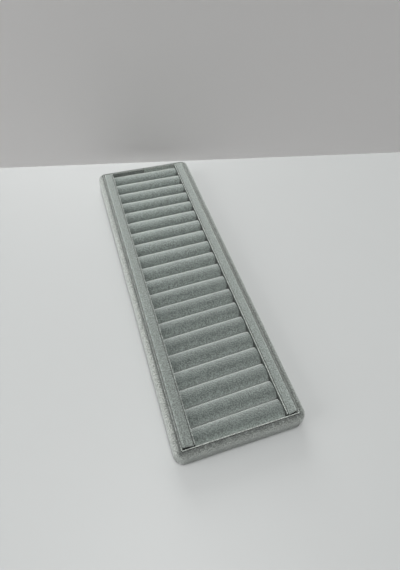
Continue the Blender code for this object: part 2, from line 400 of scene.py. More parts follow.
def loft(rows, closed_rows, painted_share_of=None):
    """Join closed rows of points into a skin.

    The rows themselves close on each other, or else the two ends get a face. A point carries
    the share of painted shade or highlight that the given function gives it.
    """
    shape = bmesh.new()
    mark = shape.verts.layers.float.new("painted_shade_and_highlight")
    lattice = []
    for row in rows:
        made = []
        for point in row:
            vert = shape.verts.new(point)
            if painted_share_of:
                vert[mark] = painted_share_of(Vector(point))
            made.append(vert)
        lattice.append(made)
    pairs = list(zip(lattice, lattice[1:]))
    if closed_rows:
        pairs.append((lattice[-1], lattice[0]))
    for here, there in pairs:
        for k in range(len(here)):
            after = (k + 1) % len(here)
            shape.faces.new((here[k], here[after], there[after], there[k]))
    if not closed_rows:
        shape.faces.new(lattice[0])
        shape.faces.new(lattice[-1])
    return shape


def swell(shape, amount, size, keep=lambda point: 1.0):
    """Push the skin in and out along its normals, in soft waves of one size."""
    shape.normal_update()
    moves = []
    for vert in shape.verts:
        wave = noise.noise(vert.co / size) * SWELL_LARGE
        wave += noise.noise(vert.co / size * SWELL_FINER) * SWELL_SMALL
        moves.append(vert.normal * wave * amount * keep(vert.co))
    for vert, move in zip(shape.verts, moves):
        vert.co += move


def drawn_in(place, straight, inner, radius):
    """A place on the widest outline moved to a smaller one, with its own corner radius."""
    if place > straight:
        return inner + (place - straight) * radius / RIM_CORNER
    return place * inner / straight


def rim_line(depth, lean=0.0):
    """Points along the rim at a depth inside its outer face.

    It leans out by a share at the left and right sides and the near end.
    """
    half_x = TRAY_HALF_X - depth + SIDE_LEAN * lean
    half_y = TRAY_HALF_Y - depth
    radius = RIM_CORNER + (BAND_CORNER_OUTER - RIM_CORNER) * depth / BAND_OUTER_DEPTH
    if depth > BAND_OUTER_DEPTH:
        inward = (depth - BAND_OUTER_DEPTH) / BAND_THICKNESS
        radius = BAND_CORNER_OUTER + (BAND_CORNER_INNER - BAND_CORNER_OUTER) * inward
    points = []
    for point in outline(TRAY_HALF_X, TRAY_HALF_Y, RIM_CORNER, RIM_ARC_STEPS, RIM_STEP):
        inner_x = half_x - radius
        inner_y = half_y - radius + (NEAR_LEAN * lean if point.y < 0 else 0.0)
        x = drawn_in(abs(point.x), TRAY_HALF_X - RIM_CORNER, inner_x, radius)
        y = drawn_in(abs(point.y), TRAY_HALF_Y - RIM_CORNER, inner_y, radius)
        points.append(Vector((math.copysign(x, point.x), math.copysign(y, point.y))))
    return points


def above_rails(height):
    """How far up a height lies between the rails' top and the top of the groove."""
    return clamped((height - COVER_ROOF) / (GROOVE_HEIGHT - COVER_ROOF))


def rim_section():
    """The cover's section once around, as depth in from the outer face and height."""
    section = [(GROOVE_DEPTH_IN, GROOVE_FOOT)]
    for k in range(GROOVE_STEPS + 1):
        share = k / GROOVE_STEPS
        depth = GROOVE_DEPTH_IN + (CROWN_DEPTH_IN - GROOVE_DEPTH_IN) * share
        height = GROOVE_HEIGHT + (RIM_HEIGHT - GROOVE_HEIGHT) * math.sin(share * math.pi / 2)
        section.append((depth, height))
    for k in range(1, CROWN_STEPS + 1):
        angle = math.pi / 2 * k / CROWN_STEPS
        depth = CROWN_DEPTH_IN * (1 - math.sin(angle))
        height = SHOULDER_HEIGHT + (RIM_HEIGHT - SHOULDER_HEIGHT) * math.cos(angle)
        section.append((depth, height))
    for height in WALL_HEIGHTS:
        section.append((HEM_TUCK * (1 - height / SHOULDER_HEIGHT) ** 2, height))
    for k in range(HEM_STEPS + 1):
        angle = math.pi / 2 * k / HEM_STEPS
        depth = HEM_TUCK + HEM_ROUND * (1 - math.cos(angle))
        section.append((depth, HEM_ROUND * (1 - math.sin(angle))))
    section.append((COVER_WALL + HEM_TUCK, 0.0))
    section.append((COVER_WALL, COVER_FOOT))
    section.append((COVER_WALL, COVER_ROOF - COVER_BEVEL))
    section.append((COVER_WALL + COVER_BEVEL, COVER_ROOF))
    section.append((GROOVE_DEPTH_IN, COVER_ROOF))
    return section


def rim_velvet():
    """The rim's velvet, where both its painted light and its painted shade break up into
    combed strokes.
    """
    painted_tones = (("painted_sheen_and_shade", RIM_PAINTED_LIGHT), ("painted_shade_and_highlight", RIM_GROOVE_SHADE))
    material = velvet("rim_velvet", RIM_VELVET, painted_tones, RIM_SHEEN)
    tree = material.node_tree
    strokes = grain(tree, 1, stretch=COMB_STROKES, place="UV")
    for share_name, weakest in (("painted_sheen_and_shade", LIGHT_STROKE_WEAKEST), ("painted_shade_and_highlight", SHADE_STROKE_WEAKEST)):
        ramp = tree.nodes.new("ShaderNodeMapRange")
        ramp.inputs["From Min"].default_value = STROKES_FROM
        ramp.inputs["From Max"].default_value = STROKES_TO
        ramp.inputs["To Min"].default_value = weakest
        tree.links.new(strokes, ramp.inputs["Value"])
        combed = tree.nodes.new("ShaderNodeMath")
        combed.operation = "MULTIPLY"
        over = tree.nodes[share_name]
        tree.links.new(over.inputs["Factor"].links[0].from_socket, combed.inputs[0])
        tree.links.new(ramp.outputs["Result"], combed.inputs[1])
        tree.links.new(combed.outputs["Value"], over.inputs["Factor"])
    return material


def by_side(point, values, corner=RIM_CORNER):
    """The value, of left, right, near and far, for the side of the tray where a point lies.

    Round a corner it turns from one side's value to the other's.
    """
    over_x = abs(point.x) - (TRAY_HALF_X - corner)
    over_y = abs(point.y) - (TRAY_HALF_Y - corner)
    turned = math.atan2(max(over_y, 0.0), max(over_x, 0.0)) / (math.pi / 2)
    across = values[0] if point.x < 0 else values[1]
    along = values[2] if point.y < 0 else values[3]
    return across * (1 - turned) + along * turned


def depth_in(point):
    """How far a point lies inside the outer face."""
    return min(TRAY_HALF_X - abs(point.x), TRAY_HALF_Y - abs(point.y))


def into_groove(point):
    """How far a point lies from the crown, 0, toward the groove, 1. Outside it is negative."""
    return (depth_in(point) - CROWN_DEPTH_IN) / (GROOVE_DEPTH_IN - CROWN_DEPTH_IN)


def rim_painted_light(point):
    """How much painted light the rim takes, on its outer face and on its top."""
    up = clamped((point.z - SHOULDER_HEIGHT) / SHOULDER_BLEND + 1)
    share = by_side(point, FACE_PAINTED_LIGHT) * (1 - up) + by_side(point, TOP_PAINTED_LIGHT) * up
    return share * (1 - clamped(into_groove(point)))


def rim_painted_shade(point):
    """How much painted shade the rim takes, in the groove and from it out over the crown."""
    crown = by_side(point, CROWN_SHADE)
    if point.x < 0:
        to_near = max(0.0, 1 - (point.y + TRAY_HALF_Y) / CORNER_REACH)
        crown = min(CROWN_SHADE[2], crown + CORNER_SHADE * to_near)
    fade = 1 - by_side(point, SHADE_FADE) * max(0.0, point.y / TRAY_HALF_Y)
    inward = into_groove(point)
    if inward > 0:
        return fade * (crown + (1 - crown) * min(1.0, inward))
    if point.y > TRAY_HALF_Y - RIM_CORNER:
        return crown
    outward = (depth_in(point) - SHADE_TO) / (CROWN_DEPTH_IN - SHADE_TO)
    return fade * crown * max(0.0, outward)


def pleat_corners(shape):
    """Draw the velvet in small pleats round each corner of the rim, more toward the table."""
    for vert in shape.verts:
        over_x = abs(vert.co.x) - (TRAY_HALF_X - RIM_CORNER)
        over_y = abs(vert.co.y) - (TRAY_HALF_Y - RIM_CORNER)
        if over_x > 0 and over_y > 0:
            around = math.atan2(over_y, over_x)
            low = max(0.0, 1 - vert.co.z / PLEAT_HEIGHT)
            draw = PLEAT_DEPTH * low * math.sin(around * PLEATS_ALL_ROUND)
            out_x = math.copysign(over_x, vert.co.x)
            out_y = math.copysign(over_y, vert.co.y)
            vert.co -= Vector((out_x, out_y, 0)).normalized() * draw


def bulge_sides(shape):
    """Let the padded outer face stand out where it isn't drawn tight."""
    for vert in shape.verts:
        outer = max(0.0, 1 - depth_in(vert.co) / BULGE_DEPTH)
        move = outer * by_side(vert.co, SIDE_BULGE)
        if depth_in(vert.co) == TRAY_HALF_X - abs(vert.co.x):
            vert.co.x += math.copysign(move, vert.co.x)
        else:
            vert.co.y += math.copysign(move, vert.co.y)


def unroll(shape, lines, section):
    """Give each point its place along the rim and across its section, for the combed strokes.

    The last faces meet the first row again, and there it lies a whole turn on.
    """
    uv = shape.loops.layers.uv.new("lay")
    around = [0.0]
    for here, there in zip(lines[-1], lines[-1][1:]):
        around.append(around[-1] + (there - here).length)
    across = [0.0]
    for here, there in zip(section, section[1:]):
        across.append(across[-1] + math.hypot(there[0] - here[0], there[1] - here[1]))
    count = len(section)
    shape.verts.index_update()
    for face in shape.faces:
        rows_of = [vert.index // count for vert in face.verts]
        for loop in face.loops:
            r, k = divmod(loop.vert.index, count)
            along = around[-1] + RIM_STEP if r == 0 and max(rows_of) > 1 else around[r]
            loop[uv].uv = (along, across[k])


def rim_free(point):
    """How free the velvet is to swell: hardly at the table, and fully a little above it."""
    return clamped(point.z / RIM_FREE_FROM) * (HEM_FREE if point.z < HEM_HELD_TO else 1.0)


def rim_cover():
    """The cover, lofted along the rim, then pleated, swelled and bulged."""
    section = rim_section()
    lines = []
    for depth, height in section:
        lines.append(rim_line(depth, above_rails(height) * depth / GROOVE_DEPTH_IN))
    rows = []
    for k in range(len(lines[0])):
        rows.append([(line[k].x, line[k].y, part[1]) for line, part in zip(lines, section)])
    shape = loft(rows, True, rim_painted_shade)
    pleat_corners(shape)
    swell(shape, RIM_SWELL, RIM_SWELL_SIZE, rim_free)
    bulge_sides(shape)
    painted_sheen_and_shade = shape.verts.layers.float.new("painted_sheen_and_shade")
    for vert in shape.verts:
        vert[painted_sheen_and_shade] = rim_painted_light(vert.co)
    unroll(shape, lines, section)
    piece = finished("rim_cover_velvet", shape, rim_velvet(), "tray")
    # Painted shade along the foot of the cover, where it meets the table.
    paint_shade(piece, lambda middle, facing: middle.z < HEM_SHADE_HEIGHT)
    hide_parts("rim_cover")


rim_cover()


# Inner band.
# A strip of thin card wrapped in the same velvet, bent round the inside of the rim and glued
# to it. Its rounded top edge is the tray's pale lip, and its ends butt at the far side.
RIM_WIDTH = 0.0072
BAND_TOP = 0.0192
BAND_FOOT = 0.0034
BAND_HEIGHTS = (BAND_FOOT, 0.0070, 0.0110, COVER_ROOF, 0.0160, GROOVE_HEIGHT, RIM_HEIGHT)
BAND_LIP_STEPS = 8
BAND_CORNER = RIM_WIDTH + BAND_CORNER_INNER
BAND_FAR_SLACK = 0.0001
BAND_BUTT = 0.00025
BAND_END_ROUND = 0.0004
BAND_END_STEPS = 3
BAND_END_THINNED = 0.9
BAND_END_LOWERED = 0.4
BAND_WAVE = 0.00010
BAND_WAVE_SIZE = 0.03
BAND_FREE_FROM = 0.006
BAND_FREE_OVER = 0.01
BAND_CREASE = math.radians(70)
# The band's velvet is set far paler than the rest, as painted light that lifts its far wall
# out of shade; painted shade brings it back down on the sides, at the near end, on the far lip
# and on the left half of the far end.
BAND_LIT_VELVET = (0.480, 0.521, 0.481)
BAND_SHADE = (0.100, 0.109, 0.100)
BAND_SHADE_SHARE = (0.79, 0.95, 0.50, 0.0)
BAND_LEFT_END_SHADE = 0.77
BAND_FAR_LIP_SHADE = 0.60
FACING_OUT_X = 0.03
FACING_OUT_Y = 0.1
UPRIGHT_FACING = 0.5


def band_section():
    """Depth and height of the band's section, up the inner face and down the outer."""
    radius = BAND_THICKNESS / 2
    middle = BAND_OUTER_DEPTH + radius
    spring = BAND_TOP - radius
    section = [(RIM_WIDTH, height) for height in BAND_HEIGHTS]
    for k in range(BAND_LIP_STEPS + 1):
        angle = math.pi * k / BAND_LIP_STEPS
        section.append((middle + radius * math.cos(angle), spring + radius * math.sin(angle)))
    section += [(BAND_OUTER_DEPTH, height) for height in BAND_HEIGHTS[::-1]]
    return section


def butt_end(section, side):
    """Rows that round off one end of the band, from the butt joint to where it is whole."""
    middle = BAND_OUTER_DEPTH + BAND_THICKNESS / 2
    rows = []
    for k in range(BAND_END_STEPS, -1, -1):
        angle = math.pi / 2 * k / BAND_END_STEPS
        x = side * (BAND_BUTT + BAND_END_ROUND * (1 - math.sin(angle)))
        squeeze = BAND_END_ROUND * (1 - math.cos(angle))
        row = []
        for depth, height in section:
            thinned = 1 - BAND_END_THINNED * squeeze / BAND_END_ROUND
            drawn = middle + (depth - middle) * thinned
            top = min(height, BAND_TOP - squeeze * BAND_END_LOWERED)
            row.append((x, TRAY_HALF_Y - drawn, top))
        rows.append(row)
    return rows


def band_painted_shade(point):
    """How much painted shade the band takes, on each side and at its left end."""
    if point.y > TRAY_HALF_Y - RIM_WIDTH - BAND_THICKNESS and point.x < 0:
        share = BAND_LEFT_END_SHADE
    else:
        share = by_side(point, BAND_SHADE_SHARE, BAND_CORNER)
    if point.z > BAND_TOP - BAND_THICKNESS:
        share = max(share, by_side(point, (0, 0, 0, BAND_FAR_LIP_SHADE), BAND_CORNER))
    return share


def band_free(point):
    """How free the band is to wave: not at its foot, fully near its lip."""
    return clamped((point.z - BAND_FREE_FROM) / BAND_FREE_OVER)


def band_hidden(middle, facing):
    """Faces that stand against the rim, below the lip."""
    outward = facing.y * middle.y > FACING_OUT_Y or facing.x * middle.x > FACING_OUT_X
    below_lip = middle.z < BAND_TOP - BAND_THICKNESS / 2
    return outward and below_lip and abs(facing.z) < UPRIGHT_FACING


def inner_band():
    """The band, lofted from its left end once round to its right end."""
    section = band_section()
    lines = [rim_line(depth, above_rails(height)) for depth, height in section]
    inner = lines[0]
    far_y = TRAY_HALF_Y - RIM_WIDTH - BAND_FAR_SLACK
    far_side = [k for k, point in enumerate(inner) if point.y > far_y]
    left_of = min(k for k in far_side if inner[k].x < -RIM_STEP / 2)
    right_of = max(k for k in far_side if inner[k].x > RIM_STEP / 2)
    rows = butt_end(section, -1)
    for k in (*range(left_of, len(inner)), *range(right_of + 1)):
        rows.append([(line[k].x, line[k].y, part[1]) for line, part in zip(lines, section)])
    rows += butt_end(section, 1)[::-1]
    shape = loft(rows, False)
    swell(shape, BAND_WAVE, BAND_WAVE_SIZE, band_free)
    painted_sheen_and_shade = shape.verts.layers.float.new("painted_sheen_and_shade")
    for vert in shape.verts:
        vert[painted_sheen_and_shade] = band_painted_shade(vert.co)
    velvet_card = velvet("band_velvet", BAND_LIT_VELVET, (("painted_sheen_and_shade", BAND_SHADE),))
    piece = finished("inner_band_velvet", shape, velvet_card, "tray")
    piece.data.set_sharp_from_angle(angle=BAND_CREASE)
    # Painted shade on the band's faces that stand against the rim.
    paint_shade(piece, band_hidden)
    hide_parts("liner_band")


inner_band()


# Insert card.
# Plain grey card that carries the insert, cut with a knife and left bare. The rolls, strips
# and dividers are glued on top of it, and it lies loose on the floor of the tray.
CARD_DARK = (0.27, 0.25, 0.22)
CARD_LIGHT = (0.42, 0.39, 0.345)
CARD_ROUGHNESS = 0.9
CARD_FIBRES = 1300
CARD_FIBRE_DETAIL = 4
CARD_CLOUDS = 130
CARD_CLOUD_DETAIL = 3
CARD_CLOUD_SHARE = 0.45
CARD_RELIEF = 0.00006


def grey_card():
    """Recycled card with fine fibres and soft clouds."""
    material, tree, shader = bare_material("grey_card", CARD_ROUGHNESS)
    fibres = grain(tree, CARD_FIBRES, CARD_FIBRE_DETAIL)
    clouds = grain(tree, CARD_CLOUDS, CARD_CLOUD_DETAIL)
    pulp = mixed(tree, fibres, clouds, CARD_CLOUD_SHARE)
    tree.links.new(two_tone(tree, pulp, CARD_DARK, CARD_LIGHT), shader.inputs["Base Color"])
    roughen(tree, shader, fibres, CARD_RELIEF)
    return material


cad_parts["insert_board"].material_slots[0].material = grey_card()


# Strips and dividers.
# Each strip is a flat bar of board and each divider a thin card on edge, wrapped in velvet
# with the ends folded in and glued on the insert card. Their tops carry a painted highlight,
# and their ends and the faces down in the gaps take painted shade.
BAR_STEP = 0.0012
BAR_ROUND_STEPS = 4
BAR_CREASE = math.radians(60)
STRIP_ROUND_OUTER = 0.0010
STRIP_ROUND_INNER = 0.0004
STRIP_END_ROUND = 0.0008
STRIP_PILLOW = 0.00015
STRIP_TOP_STEPS = 10
STRIP_SLANT = 0.0011
STRIP_REACH = 0.0001
STRIP_INSET = 0.0003
STRIP_WAVE = 0.00010
STRIP_WAVE_SIZE = 0.02
STRIP_VELVET = (0.126, 0.144, 0.133)
# Painted highlight along each strip's outer top edge, and painted sheen toward its outer side;
# on the left strip both grow from the near end toward the far end.
STRIP_EDGE_HIGHLIGHT = (0.227, 0.260, 0.242)
STRIP_FOLD_WIDTH = 0.0010
STRIP_PAINTED_SHEEN = {"left": 0.20, "right": 0.27}
SHEEN_FROM_Y = -0.17
SHEEN_RAMP_LENGTH = 0.14
STRIP_END_FACING = 0.9
FACING_IN_X = -0.03
DIVIDER_ROUND = 0.00035
DIVIDER_TOP_STEPS = 2
DIVIDER_SHIFT = {"left": 0.0001, "right": 0.0}
DIVIDER_SWAY = 0.00022
DIVIDER_SWAY_WAVES = (9, 26, 3)
DIVIDER_FRAY = 0.00012
DIVIDER_FRAY_WAVES = (900, 420, 5)
DIVIDER_WAVE = 0.00013
DIVIDER_WAVE_WAVES = (9, 60, 8)
# Painted highlight over each divider's top, strongest on the right divider.
DIVIDER_TOP_HIGHLIGHT = (0.270, 0.294, 0.272)
DIVIDER_HIGHLIGHT = {"left": 0.35, "right": 1.5}
DIVIDER_HIGHLIGHT_DEPTH = 0.0045
DIVIDER_UNSHADED_DEPTH = {"left": 0.0004, "right": 0.0030}
DIVIDER_END_FACING = 0.6
NEAR_SPREAD = 0.0008
SPREAD_FROM_X = 0.020
ROLL_RIGHT_X = 0.0386
STRIP_FIXED_X = 0.0480


def bar_section(low, high, rounds, pillow, top_steps):
    """Points around an upright bar's section in X and Z, from its left foot over the top."""
    half_height = (low.z + high.z) / 2
    first = low.x + rounds[0]
    last = high.x - rounds[1]
    top = high.z - pillow
    points = [(low.x, low.z), (low.x, half_height)]
    for k in range(BAR_ROUND_STEPS + 1):
        angle = math.pi / 2 * k / BAR_ROUND_STEPS
        drop = rounds[0] * (1 - math.sin(angle))
        points.append((first - rounds[0] * math.cos(angle), top - drop))
    for k in range(1, top_steps):
        across = 2 * k / top_steps - 1
        bowed = top + pillow * (1 - across * across)
        points.append((first + (last - first) * k / top_steps, bowed))
    for k in range(BAR_ROUND_STEPS + 1):
        angle = math.pi / 2 * (1 - k / BAR_ROUND_STEPS)
        drop = rounds[1] * (1 - math.sin(angle))
        points.append((last + rounds[1] * math.cos(angle), top - drop))
    points += [(high.x, half_height), (high.x, low.z)]
    return points


def velvet_bar(low, high, rounds, end_round, pillow, top_steps, slant, painted_light_of):
    """A bar wrapped in velvet between two corners, its near end cut at a slant."""
    section = bar_section(low, high, rounds, pillow, top_steps)
    middle = (low + high) / 2
    outward = 1 if middle.x > 0 else -1
    pull = min(rounds) / end_round
    length = high.y - low.y
    count = round(length / BAR_STEP)
    near = []
    for k in range(BAR_ROUND_STEPS + 1):
        angle = math.pi / 2 * k / BAR_ROUND_STEPS
        near.append((end_round * (1 - math.cos(angle)), end_round * (1 - math.sin(angle))))
    run = [(end_round + (length - 2 * end_round) * k / count, 0.0) for k in range(1, count)]
    far = [(length - along, drawn) for along, drawn in near[::-1]]
    rows = []
    for along, drawn in near + run + far:
        row = []
        for x, z in section:
            share = (x - low.x) / (high.x - low.x)
            inner = 1 - share if outward > 0 else share
            end = low.y - slant * inner
            y = end + (high.y - end) * along / length
            if abs(x - middle.x) > end_round:
                x -= math.copysign(drawn * pull, x - middle.x)
            row.append((x, y, z - drawn if z > middle.z else z))
        rows.append(row)
    return loft(rows, False, lambda point: painted_light_of(point, low, high, outward))


def spread_near(shape):
    """Move what lies toward the right side farther right, most of all at the near end."""
    for vert in shape.verts:
        near = max(0.0, -vert.co.y / TRAY_HALF_Y)
        across = clamped((vert.co.x - SPREAD_FROM_X) / (ROLL_RIGHT_X - SPREAD_FROM_X))
        inside = clamped((STRIP_FIXED_X - vert.co.x) / STRIP_FOLD_WIDTH)
        vert.co.x += NEAR_SPREAD * near * across * inside


def waves(point, counts):
    """Soft noise, so many waves to the metre across and along the tray, from its own start."""
    across, along, start = counts
    return noise.noise(Vector((point.x * across, point.y * along, start)))


def strip_painted_light(point, low, high, outward):
    """Painted sheen toward a strip's outer side, and a painted highlight in a line where its
    top bends.
    """
    if point.z < high.z - STRIP_ROUND_OUTER:
        return 0.0
    side = "right" if outward > 0 else "left"
    from_outer = abs(point.x - (high.x if outward > 0 else low.x))
    line = max(0.0, 1 - abs(from_outer - STRIP_ROUND_OUTER) / STRIP_FOLD_WIDTH)
    along = 1.0 if outward > 0 else clamped((point.y - SHEEN_FROM_Y) / SHEEN_RAMP_LENGTH)
    painted_sheen = STRIP_PAINTED_SHEEN[side] * along * (2 - from_outer / (high.x - low.x))
    return max(line * (1 + along) / 2, painted_sheen)


def divider_painted_light(point, low, high, outward):
    """Painted highlight over the top of the card, most of all at the right side."""
    pale = DIVIDER_HIGHLIGHT["right" if outward > 0 else "left"]
    return min(1.0, pale * max(0.0, 1 - (high.z - point.z) / DIVIDER_HIGHLIGHT_DEPTH))


strip_velvet = velvet("strip_velvet", STRIP_VELVET, (("painted_shade_and_highlight", STRIP_EDGE_HIGHLIGHT),))
divider_velvet = velvet("divider_velvet", STRIP_VELVET, (("painted_shade_and_highlight", DIVIDER_TOP_HIGHLIGHT),))


def strip_shaded_faces(middle, facing):
    """A strip's ends, and its side toward the rolls, which take the painted shade."""
    return abs(facing.y) > STRIP_END_FACING or facing.x * middle.x < FACING_IN_X


def strip(side):
    """One strip, its outer edge rounder and a little clear of the band."""
    low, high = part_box(f"strip_{side}")
    rounds = (STRIP_ROUND_OUTER, STRIP_ROUND_INNER)
    if side == "right":
        rounds = rounds[::-1]
        high.x -= STRIP_INSET
    else:
        low.x += STRIP_INSET
    low.y -= STRIP_REACH
    shape = velvet_bar(low, high, rounds, STRIP_END_ROUND, STRIP_PILLOW, STRIP_TOP_STEPS,
                       STRIP_SLANT, strip_painted_light)
    swell(shape, STRIP_WAVE, STRIP_WAVE_SIZE)
    spread_near(shape)
    piece = finished(f"strip_{side}_velvet", shape, strip_velvet, "insert")
    piece.data.set_sharp_from_angle(angle=BAR_CREASE)
    # Painted shade on the strip's ends and on its side toward the rolls.
    paint_shade(piece, strip_shaded_faces)
    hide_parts(f"strip_{side}")


def divider(side):
    """One divider: its top edge sways, frays and waves, and below its top it takes the painted
    shade.
    """
    low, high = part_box(f"divider_{side}")
    low.x += DIVIDER_SHIFT[side]
    high.x += DIVIDER_SHIFT[side]
    shape = velvet_bar(low, high, (DIVIDER_ROUND, DIVIDER_ROUND), DIVIDER_ROUND, 0,
                       DIVIDER_TOP_STEPS, 0, divider_painted_light)
    for vert in shape.verts:
        up = max(0.0, (vert.co.z - low.z) / (high.z - low.z))
        vert.co.x += DIVIDER_SWAY * up * waves(vert.co, DIVIDER_SWAY_WAVES)
        vert.co.x += DIVIDER_FRAY * up * waves(vert.co, DIVIDER_FRAY_WAVES)
        vert.co.z += DIVIDER_WAVE * up * waves(vert.co, DIVIDER_WAVE_WAVES)
    spread_near(shape)
    piece = finished(f"divider_{side}_velvet", shape, divider_velvet, "insert")
    piece.data.set_sharp_from_angle(angle=BAR_CREASE)
    shade_below = high.z - DIVIDER_UNSHADED_DEPTH[side]
    # Painted shade on the divider's ends and on its faces below the top.
    paint_shade(piece, lambda middle, facing: (
        abs(facing.y) > DIVIDER_END_FACING or middle.z < shade_below))
    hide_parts(f"divider_{side}")


for side in ("left", "right"):
    strip(side)
    divider(side)


# Padded rolls.
# Sticks of soft foam, each rolled up in velvet with its ends drawn in, and glued on the card
# by hand, side by side. So they lean, their widths vary a little, and the slots are deep.
ROLL_COUNT = 20
ROLL_PITCH = 0.016765
ROLL_FIELD_HALF_Y = 0.16765
ROLL_LEFT_X = -0.0389
ROLL_SKEW = 0.0032
ROLL_SETTLE = 0.0028
ROLL_CREST = 0.0180
ROLL_CROWN = 0.0062
ROLL_SPRING = ROLL_CREST - ROLL_CROWN
ROLL_FOOT = 0.0052
ROLL_GAP = 0.0003
ROLL_ROUND_LEFT = 0.0006
ROLL_ROUND_RIGHT = 0.0003
ROLL_FILL_RIGHT = 0.00033
ROLL_FILL_FAR = 0.00024
ROLL_ACROSS_STEPS = 34
ROLL_ARC_STEPS = 28
ROLL_END_STEPS = 6
ROLL_UNEVEN = 0.00025
UNEVEN_APART = 3.7
UNEVEN_WAVES = 18
UNEVEN_START = 1.5
LAST_SUNK = 0.0004
PUCKER_DEPTH = 0.00010
PUCKER_LENGTH = 0.0045
PUCKERS = 11
PUCKER_TURN = 1.3
ROLL_SWELL = 0.00022
ROLL_SWELL_SIZE = 0.013
ROLL_FREE_FROM = 0.011
ROLL_FREE_OVER = 0.005
ROLL_CREASE = math.radians(60)
ROLL_VELVET = (0.084, 0.102, 0.094)
# Painted sheen at the foot of each roll, most on the nearer ones, and over the tops of the
# farther rolls.
ROLL_PAINTED_SHEEN = (0.161, 0.191, 0.176)
# Painted shade low at the right end of the farther rolls, where the slots meet the divider.
ROLL_TUCK_SHADE = (0.018, 0.021, 0.019)
ROLL_SHEEN = 0.95
FOOT_PAINTED_SHEEN = 0.4
FOOT_SPREAD = 0.30
FOOT_FULL = 0.10
FOOT_LAST = 13
FOOT_ROLLS = 4
TOP_FIRST = 6.5
TOP_ROLLS = 6
TUCK_SHADE_LENGTH = 0.0004
TUCK_SHADE_DROP = 0.0008
TUCK_SHADE_BLEND = 0.0025
TUCK_SHADE_NEAR = 3
TUCK_SHADE_ROLLS = 10
END_SHADE_WIDTH = 0.00006


def slot_line(number, x):
    """Place along the tray of the slot after so many rolls, at one place across it."""
    turn = math.sqrt(number / ROLL_COUNT)
    lean = ROLL_SKEW * math.sin(math.pi * turn)
    settle = -ROLL_SETTLE * turn * math.sin(2 * math.pi * turn)
    across = (x - (ROLL_LEFT_X + ROLL_RIGHT_X) / 2) / (ROLL_RIGHT_X - ROLL_LEFT_X)
    return -ROLL_FIELD_HALF_Y + number * ROLL_PITCH + settle + lean * across


def end_cuts(end, radius, inward):
    """Cuts through a roll's rounded end, and how far each draws the roll in."""
    cuts = []
    for k in range(ROLL_END_STEPS + 1):
        angle = math.pi / 2 * k / ROLL_END_STEPS
        place = end + inward * radius * (1 - math.cos(angle))
        cuts.append((place, radius * (1 - math.sin(angle))))
    return cuts


def roll_cuts(number):
    """Where a roll is cut across its length, and how far it is drawn in there."""
    right_x = ROLL_RIGHT_X + ROLL_FILL_RIGHT + ROLL_FILL_FAR * number / ROLL_COUNT
    left_end = end_cuts(ROLL_LEFT_X, ROLL_ROUND_LEFT, 1)
    right_end = end_cuts(right_x, ROLL_ROUND_RIGHT, -1)
    first = left_end[-1][0]
    last = right_end[-1][0]
    between = []
    for k in range(1, ROLL_ACROSS_STEPS):
        between.append((first + (last - first) * k / ROLL_ACROSS_STEPS, 0.0))
    return left_end + between + right_end[::-1]


def roll_section(number, x, drawn):
    """One cut through a roll: foot, upright sides and round top, puckered near the ends."""
    near = slot_line(number, x) + ROLL_GAP / 2 + drawn
    far = slot_line(number + 1, x) - ROLL_GAP / 2 - drawn
    centre = (near + far) / 2
    half = (far - near) / 2
    where = Vector((number * UNEVEN_APART, x * UNEVEN_WAVES, UNEVEN_START))
    top = ROLL_CREST + ROLL_UNEVEN * noise.noise(where) - drawn
    if number == ROLL_COUNT - 1:
        top -= LAST_SUNK
    from_end = min(x - ROLL_LEFT_X, ROLL_RIGHT_X - x)
    gathered = PUCKER_DEPTH * max(0.0, 1 - from_end / PUCKER_LENGTH)
    points = [(x, near, ROLL_FOOT)]
    for k in range(ROLL_ARC_STEPS + 1):
        angle = math.pi * k / ROLL_ARC_STEPS
        pucker = gathered * math.sin(angle * PUCKERS + number * PUCKER_TURN)
        y = centre - (half - abs(pucker)) * math.cos(angle)
        points.append((x, y, ROLL_SPRING + (top - ROLL_SPRING - pucker) * math.sin(angle)))
    points.append((x, far, ROLL_FOOT))
    return points


def roll_painted_shade(number, point):
    """How much painted shade a roll takes: low at the right end, on the farther rolls."""
    low = clamped((ROLL_CREST - TUCK_SHADE_DROP - point.z) / TUCK_SHADE_BLEND)
    farness = min(1.0, (number + TUCK_SHADE_NEAR) / TUCK_SHADE_ROLLS)
    return low * farness * max(0.0, 1 - (ROLL_RIGHT_X - point.x) / TUCK_SHADE_LENGTH)


def roll_painted_sheen(number, turn):
    """How much painted sheen a roll takes, from its foot, 0, over to its far side, 1.

    The painted sheen lies at the foot of each roll, and over the tops of the farther rolls.
    """
    turn = clamped(turn)
    across = (1 - math.cos(math.pi * turn)) / 2
    nearness = clamped((FOOT_LAST - number) / FOOT_ROLLS)
    foot = FOOT_PAINTED_SHEEN + (1 - FOOT_PAINTED_SHEEN) * nearness
    foot *= clamped((FOOT_SPREAD - across) / (FOOT_SPREAD - FOOT_FULL))
    farness = clamped((number - TOP_FIRST) / TOP_ROLLS)
    return max(foot, farness * math.sin(math.pi * turn))


def roll_free(point):
    """How free the foam is to swell: only in the upper part of a roll."""
    return clamped((point.z - ROLL_FREE_FROM) / ROLL_FREE_OVER)


def roll_shaded_faces(middle, facing):
    """Faces at a roll's ends and down in the slots, which take the painted shade."""
    from_end = min(middle.x - ROLL_LEFT_X, ROLL_RIGHT_X - middle.x)
    return from_end < END_SHADE_WIDTH or middle.z < ROLL_SPRING


roll_painted_tones = (("painted_sheen_and_shade", ROLL_PAINTED_SHEEN), ("painted_shade_and_highlight", ROLL_TUCK_SHADE))
roll_velvet = velvet("roll_velvet", ROLL_VELVET, roll_painted_tones, ROLL_SHEEN)


